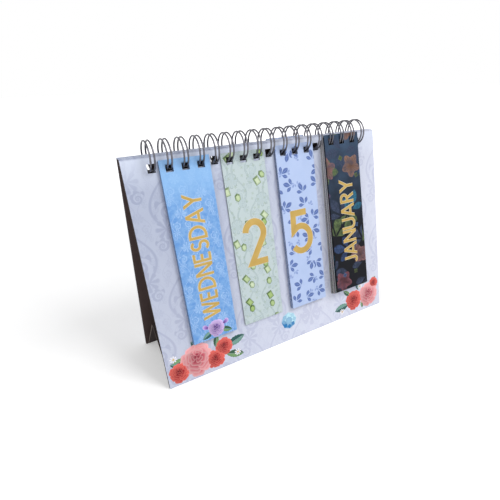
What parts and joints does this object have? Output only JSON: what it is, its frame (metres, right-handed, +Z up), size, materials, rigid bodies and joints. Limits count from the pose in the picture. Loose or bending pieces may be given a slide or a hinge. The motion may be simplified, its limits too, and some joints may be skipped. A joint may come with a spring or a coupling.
{
  "type": "perpetual desk calendar",
  "caption": "Tent-shaped flip calendar: a folding board easel with a bottom gusset and a twin-loop wire that carries stacks of weekday, date and month cards.",
  "frame": {"origin": "on the desk, in the middle of the foot of the front board (mount foot_front)", "axes": "+X along the ridge to the right as read from the front, +Y to the back, +Z up"},
  "size_m": [0.165, 0.0543, 0.133],
  "materials": {
    "greyboard": "matte",
    "cover_paper": "matte",
    "liner_paper": "matte",
    "gusset_board": "matte",
    "wire": "satin",
    "day_card": "satin",
    "tens_card": "satin",
    "units_card": "satin",
    "month_card": "satin"
  },
  "bodies": {
    "front_panel": {"front_board": "greyboard", "front_cover": "cover_paper", "front_liner": "liner_paper", "twin_loop_wire": "wire"},
    "ridge": {"ridge_strip": "cover_paper"},
    "rear_panel": {"rear_board": "greyboard", "rear_cover": "cover_paper", "rear_liner": "liner_paper"},
    "gusset_front": {"gusset_front": "gusset_board"},
    "gusset_rear": {"gusset_rear": "gusset_board"},
    "card_wednesday": {"card_wednesday": "day_card"},
    "card_thursday": {"card_thursday": "day_card"},
    "card_friday": {"card_friday": "day_card"},
    "card_saturday": {"card_saturday": "day_card"},
    "card_sunday": {"card_sunday": "day_card"},
    "card_tuesday": {"card_tuesday": "day_card"},
    "card_monday": {"card_monday": "day_card"},
    "card_tens_2": {"card_tens_2": "tens_card"},
    "card_tens_3": {"card_tens_3": "tens_card"},
    "card_tens_1": {"card_tens_1": "tens_card"},
    "card_tens_0": {"card_tens_0": "tens_card"},
    "card_units_5": {"card_units_5": "units_card"},
    "card_units_6": {"card_units_6": "units_card"},
    "card_units_7": {"card_units_7": "units_card"},
    "card_units_8": {"card_units_8": "units_card"},
    "card_units_9": {"card_units_9": "units_card"},
    "card_units_4": {"card_units_4": "units_card"},
    "card_units_3": {"card_units_3": "units_card"},
    "card_units_2": {"card_units_2": "units_card"},
    "card_units_1": {"card_units_1": "units_card"},
    "card_units_0": {"card_units_0": "units_card"},
    "card_january": {"card_january": "month_card"},
    "card_february": {"card_february": "month_card"},
    "card_march": {"card_march": "month_card"},
    "card_april": {"card_april": "month_card"},
    "card_may": {"card_may": "month_card"},
    "card_june": {"card_june": "month_card"},
    "card_july": {"card_july": "month_card"},
    "card_august": {"card_august": "month_card"},
    "card_september": {"card_september": "month_card"},
    "card_october": {"card_october": "month_card"},
    "card_november": {"card_november": "month_card"},
    "card_december": {"card_december": "month_card"}
  },
  "joints": [
    {"name": "tent_fold", "type": "hinge", "parent": "front_panel", "child": "rear_panel", "pos_m": [0, 0.02449, 0.12495], "axis": [1, 0, 0], "range_deg": [-15, 0]},
    {"name": "ridge_fold", "type": "hinge", "parent": "front_panel", "child": "ridge", "pos_m": [0, 0.02169, 0.12495], "axis": [1, 0, 0], "range_deg": [-7.5, 0]},
    {"name": "gusset_fold_front", "type": "hinge", "parent": "front_panel", "child": "gusset_front", "pos_m": [0, 0.00142, 0.00108], "axis": [1, 0, 0], "range_deg": [0, 22.5]},
    {"name": "gusset_fold_rear", "type": "hinge", "parent": "rear_panel", "child": "gusset_rear", "pos_m": [0, 0.04757, 0.00108], "axis": [1, 0, 0], "range_deg": [-22.5, 0]},
    {"name": "turn_wednesday", "type": "hinge", "parent": "front_panel", "child": "card_wednesday", "pos_m": [-0.0514, 0.02289, 0.12505], "axis": [-1, 0, 0], "range_deg": [0, 185]},
    {"name": "turn_thursday", "type": "hinge", "parent": "front_panel", "child": "card_thursday", "pos_m": [-0.0514, 0.02289, 0.12505], "axis": [-1, 0, 0], "range_deg": [0, 148.05]},
    {"name": "turn_friday", "type": "hinge", "parent": "front_panel", "child": "card_friday", "pos_m": [-0.0514, 0.02289, 0.12505], "axis": [-1, 0, 0], "range_deg": [0, 111.05]},
    {"name": "turn_saturday", "type": "hinge", "parent": "front_panel", "child": "card_saturday", "pos_m": [-0.0514, 0.02289, 0.12505], "axis": [-1, 0, 0], "range_deg": [0, 74.05]},
    {"name": "turn_sunday", "type": "hinge", "parent": "front_panel", "child": "card_sunday", "pos_m": [-0.0514, 0.02289, 0.12505], "axis": [-1, 0, 0], "range_deg": [0, 37.05]},
    {"name": "turn_tuesday", "type": "hinge", "parent": "rear_panel", "child": "card_tuesday", "pos_m": [-0.0514, 0.02289, 0.12505], "axis": [1, 0, 0], "range_deg": [0, 25]},
    {"name": "turn_monday", "type": "hinge", "parent": "rear_panel", "child": "card_monday", "pos_m": [-0.0514, 0.02289, 0.12505], "axis": [1, 0, 0], "range_deg": [0, 12.55]},
    {"name": "turn_tens_2", "type": "hinge", "parent": "front_panel", "child": "card_tens_2", "pos_m": [-0.01753, 0.02289, 0.12505], "axis": [-1, 0, 0], "range_deg": [0, 185]},
    {"name": "turn_tens_3", "type": "hinge", "parent": "front_panel", "child": "card_tens_3", "pos_m": [-0.01753, 0.02289, 0.12505], "axis": [-1, 0, 0], "range_deg": [0, 92.55]},
    {"name": "turn_tens_1", "type": "hinge", "parent": "rear_panel", "child": "card_tens_1", "pos_m": [-0.01753, 0.02289, 0.12505], "axis": [1, 0, 0], "range_deg": [0, 25]},
    {"name": "turn_tens_0", "type": "hinge", "parent": "rear_panel", "child": "card_tens_0", "pos_m": [-0.01753, 0.02289, 0.12505], "axis": [1, 0, 0], "range_deg": [0, 12.55]},
    {"name": "turn_units_5", "type": "hinge", "parent": "front_panel", "child": "card_units_5", "pos_m": [0.01633, 0.02289, 0.12505], "axis": [-1, 0, 0], "range_deg": [0, 185]},
    {"name": "turn_units_6", "type": "hinge", "parent": "front_panel", "child": "card_units_6", "pos_m": [0.01633, 0.02289, 0.12505], "axis": [-1, 0, 0], "range_deg": [0, 148.05]},
    {"name": "turn_units_7", "type": "hinge", "parent": "front_panel", "child": "card_units_7", "pos_m": [0.01633, 0.02289, 0.12505], "axis": [-1, 0, 0], "range_deg": [0, 111.05]},
    {"name": "turn_units_8", "type": "hinge", "parent": "front_panel", "child": "card_units_8", "pos_m": [0.01633, 0.02289, 0.12505], "axis": [-1, 0, 0], "range_deg": [0, 74.05]},
    {"name": "turn_units_9", "type": "hinge", "parent": "front_panel", "child": "card_units_9", "pos_m": [0.01633, 0.02289, 0.12505], "axis": [-1, 0, 0], "range_deg": [0, 37.05]},
    {"name": "turn_units_4", "type": "hinge", "parent": "rear_panel", "child": "card_units_4", "pos_m": [0.01633, 0.02289, 0.12505], "axis": [1, 0, 0], "range_deg": [0, 25]},
    {"name": "turn_units_3", "type": "hinge", "parent": "rear_panel", "child": "card_units_3", "pos_m": [0.01633, 0.02289, 0.12505], "axis": [1, 0, 0], "range_deg": [0, 20.05]},
    {"name": "turn_units_2", "type": "hinge", "parent": "rear_panel", "child": "card_units_2", "pos_m": [0.01633, 0.02289, 0.12505], "axis": [1, 0, 0], "range_deg": [0, 15.05]},
    {"name": "turn_units_1", "type": "hinge", "parent": "rear_panel", "child": "card_units_1", "pos_m": [0.01633, 0.02289, 0.12505], "axis": [1, 0, 0], "range_deg": [0, 10.05]},
    {"name": "turn_units_0", "type": "hinge", "parent": "rear_panel", "child": "card_units_0", "pos_m": [0.01633, 0.02289, 0.12505], "axis": [1, 0, 0], "range_deg": [0, 5.05]},
    {"name": "turn_january", "type": "hinge", "parent": "front_panel", "child": "card_january", "pos_m": [0.0502, 0.02289, 0.12505], "axis": [-1, 0, 0], "range_deg": [0, 185]},
    {"name": "turn_february", "type": "hinge", "parent": "front_panel", "child": "card_february", "pos_m": [0.0502, 0.02289, 0.12505], "axis": [-1, 0, 0], "range_deg": [0, 169.64]},
    {"name": "turn_march", "type": "hinge", "parent": "front_panel", "child": "card_march", "pos_m": [0.0502, 0.02289, 0.12505], "axis": [-1, 0, 0], "range_deg": [0, 154.21]},
    {"name": "turn_april", "type": "hinge", "parent": "front_panel", "child": "card_april", "pos_m": [0.0502, 0.02289, 0.12505], "axis": [-1, 0, 0], "range_deg": [0, 138.8]},
    {"name": "turn_may", "type": "hinge", "parent": "front_panel", "child": "card_may", "pos_m": [0.0502, 0.02289, 0.12505], "axis": [-1, 0, 0], "range_deg": [0, 123.39]},
    {"name": "turn_june", "type": "hinge", "parent": "front_panel", "child": "card_june", "pos_m": [0.0502, 0.02289, 0.12505], "axis": [-1, 0, 0], "range_deg": [0, 107.96]},
    {"name": "turn_july", "type": "hinge", "parent": "front_panel", "child": "card_july", "pos_m": [0.0502, 0.02289, 0.12505], "axis": [-1, 0, 0], "range_deg": [0, 92.55]},
    {"name": "turn_august", "type": "hinge", "parent": "front_panel", "child": "card_august", "pos_m": [0.0502, 0.02289, 0.12505], "axis": [-1, 0, 0], "range_deg": [0, 77.14]},
    {"name": "turn_september", "type": "hinge", "parent": "front_panel", "child": "card_september", "pos_m": [0.0502, 0.02289, 0.12505], "axis": [-1, 0, 0], "range_deg": [0, 61.71]},
    {"name": "turn_october", "type": "hinge", "parent": "front_panel", "child": "card_october", "pos_m": [0.0502, 0.02289, 0.12505], "axis": [-1, 0, 0], "range_deg": [0, 46.3]},
    {"name": "turn_november", "type": "hinge", "parent": "front_panel", "child": "card_november", "pos_m": [0.0502, 0.02289, 0.12505], "axis": [-1, 0, 0], "range_deg": [0, 30.89]},
    {"name": "turn_december", "type": "hinge", "parent": "front_panel", "child": "card_december", "pos_m": [0.0502, 0.02289, 0.12505], "axis": [-1, 0, 0], "range_deg": [0, 15.46]}
  ],
  "couplings": [
    {"joint": "ridge_fold", "follows": "tent_fold", "ratio": 0.5},
    {"joint": "gusset_fold_front", "follows": "tent_fold", "ratio": -1.47},
    {"joint": "gusset_fold_rear", "follows": "tent_fold", "ratio": 1.47},
    {"joint": "turn_thursday", "follows": "turn_wednesday", "ratio": 0.8},
    {"joint": "turn_friday", "follows": "turn_wednesday", "ratio": 0.6},
    {"joint": "turn_saturday", "follows": "turn_wednesday", "ratio": 0.4},
    {"joint": "turn_sunday", "follows": "turn_wednesday", "ratio": 0.2},
    {"joint": "turn_monday", "follows": "turn_tuesday", "ratio": 0.5},
    {"joint": "turn_tens_3", "follows": "turn_tens_2", "ratio": 0.5},
    {"joint": "turn_tens_0", "follows": "turn_tens_1", "ratio": 0.5},
    {"joint": "turn_units_6", "follows": "turn_units_5", "ratio": 0.8},
    {"joint": "turn_units_7", "follows": "turn_units_5", "ratio": 0.6},
    {"joint": "turn_units_8", "follows": "turn_units_5", "ratio": 0.4},
    {"joint": "turn_units_9", "follows": "turn_units_5", "ratio": 0.2},
    {"joint": "turn_units_3", "follows": "turn_units_4", "ratio": 0.8},
    {"joint": "turn_units_2", "follows": "turn_units_4", "ratio": 0.6},
    {"joint": "turn_units_1", "follows": "turn_units_4", "ratio": 0.4},
    {"joint": "turn_units_0", "follows": "turn_units_4", "ratio": 0.2},
    {"joint": "turn_february", "follows": "turn_january", "ratio": 0.9167},
    {"joint": "turn_march", "follows": "turn_january", "ratio": 0.8333},
    {"joint": "turn_april", "follows": "turn_january", "ratio": 0.75},
    {"joint": "turn_may", "follows": "turn_january", "ratio": 0.6667},
    {"joint": "turn_june", "follows": "turn_january", "ratio": 0.5833},
    {"joint": "turn_july", "follows": "turn_january", "ratio": 0.5},
    {"joint": "turn_august", "follows": "turn_january", "ratio": 0.4167},
    {"joint": "turn_september", "follows": "turn_january", "ratio": 0.3333},
    {"joint": "turn_october", "follows": "turn_january", "ratio": 0.25},
    {"joint": "turn_november", "follows": "turn_january", "ratio": 0.1667},
    {"joint": "turn_december", "follows": "turn_january", "ratio": 0.0833}
  ]
}
